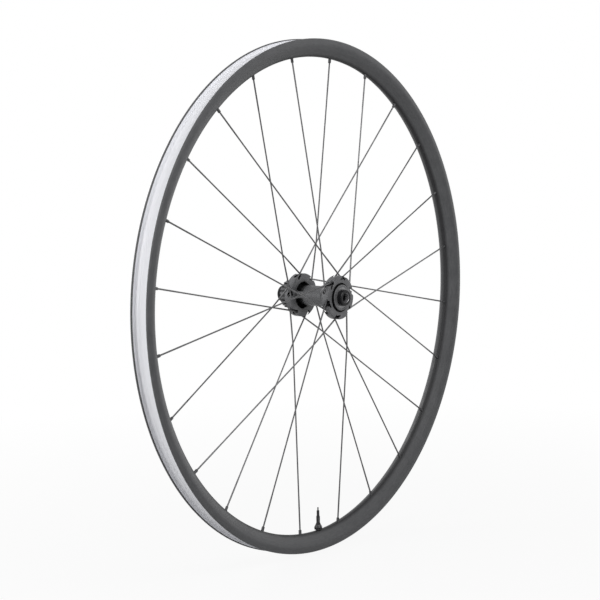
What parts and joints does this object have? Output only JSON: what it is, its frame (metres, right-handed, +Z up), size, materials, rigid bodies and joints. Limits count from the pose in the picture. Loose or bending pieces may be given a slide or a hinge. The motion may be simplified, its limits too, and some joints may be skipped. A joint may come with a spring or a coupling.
{
  "type": "bicycle front wheel",
  "caption": "Bicycle front wheel without a tyre: a hollow composite rim laced with straight spokes to a hub for a through axle and a splined disc brake rotor.",
  "frame": {"origin": "the wheel's centre, on the axle's axis and midway between the two axle ends", "axes": "+X forward, +Y along the axle to the brake side on the rider's left, +Z up with the valve at the bottom"},
  "size_m": [0.634, 0.1, 0.634],
  "materials": {
    "rim_composite": "matt",
    "tape": "satin",
    "spoke_steel": "dark satin",
    "nipple_alloy": "black satin",
    "hub_alloy": "black satin",
    "axle_alloy": "bare",
    "cap_alloy": "black gloss",
    "valve_alloy": "black satin",
    "bearing_steel": "ground",
    "cage_plastic": "satin",
    "rubber": "matt"
  },
  "bodies": {
    "axle_set": {"axle": "axle_alloy", "left_end_cap": "cap_alloy", "left_cap_ring": "rubber", "left_bearing_inner_race": "bearing_steel", "right_end_cap": "cap_alloy", "right_cap_ring": "rubber", "right_bearing_inner_race": "bearing_steel"},
    "wheel": {"rim": "rim_composite", "rim_tape": "tape", "nipples": "nipple_alloy", "hub_shell": "hub_alloy", "spoke_01": "spoke_steel", "spoke_02": "spoke_steel", "spoke_03": "spoke_steel", "spoke_04": "spoke_steel", "spoke_05": "spoke_steel", "spoke_06": "spoke_steel", "spoke_07": "spoke_steel", "spoke_08": "spoke_steel", "spoke_09": "spoke_steel", "spoke_10": "spoke_steel", "spoke_11": "spoke_steel", "spoke_12": "spoke_steel", "spoke_13": "spoke_steel", "spoke_14": "spoke_steel", "spoke_15": "spoke_steel", "spoke_16": "spoke_steel", "spoke_17": "spoke_steel", "spoke_18": "spoke_steel", "spoke_19": "spoke_steel", "spoke_20": "spoke_steel", "spoke_21": "spoke_steel", "spoke_22": "spoke_steel", "spoke_23": "spoke_steel", "spoke_24": "spoke_steel", "left_dust_ring": "hub_alloy", "left_bearing_outer_race": "bearing_steel", "left_bearing_outer_seal": "rubber", "left_bearing_inner_seal": "rubber", "right_dust_ring": "hub_alloy", "right_bearing_outer_race": "bearing_steel", "right_bearing_outer_seal": "rubber", "right_bearing_inner_seal": "rubber", "valve_stem": "valve_alloy", "valve_base": "rubber", "valve_o_ring": "rubber", "valve_lock_nut": "valve_alloy", "valve_core": "valve_alloy", "valve_pin": "valve_alloy"},
    "left_ball_set": {"left_bearing_balls": "bearing_steel", "left_bearing_cage": "cage_plastic"},
    "right_ball_set": {"right_bearing_balls": "bearing_steel", "right_bearing_cage": "cage_plastic"},
    "valve_tip": {"valve_tip_nut": "valve_alloy"}
  },
  "joints": [
    {"name": "wheel_spin", "type": "hinge", "parent": "axle_set", "child": "wheel", "pos_m": [0, 0, 0], "axis": [0, 1, 0], "continuous": true},
    {"name": "left_ball_orbit", "type": "hinge", "parent": "axle_set", "child": "left_ball_set", "pos_m": [0, 0, 0], "axis": [0, 1, 0], "continuous": true},
    {"name": "right_ball_orbit", "type": "hinge", "parent": "axle_set", "child": "right_ball_set", "pos_m": [0, 0, 0], "axis": [0, 1, 0], "continuous": true},
    {"name": "valve_tip_unscrew", "type": "slide", "parent": "wheel", "child": "valve_tip", "axis": [0, 0, 1], "range_m": [0, 0.0025]}
  ],
  "couplings": [
    {"joint": "left_ball_orbit", "follows": "wheel_spin", "ratio": 0.55814},
    {"joint": "right_ball_orbit", "follows": "wheel_spin", "ratio": 0.55814}
  ]
}
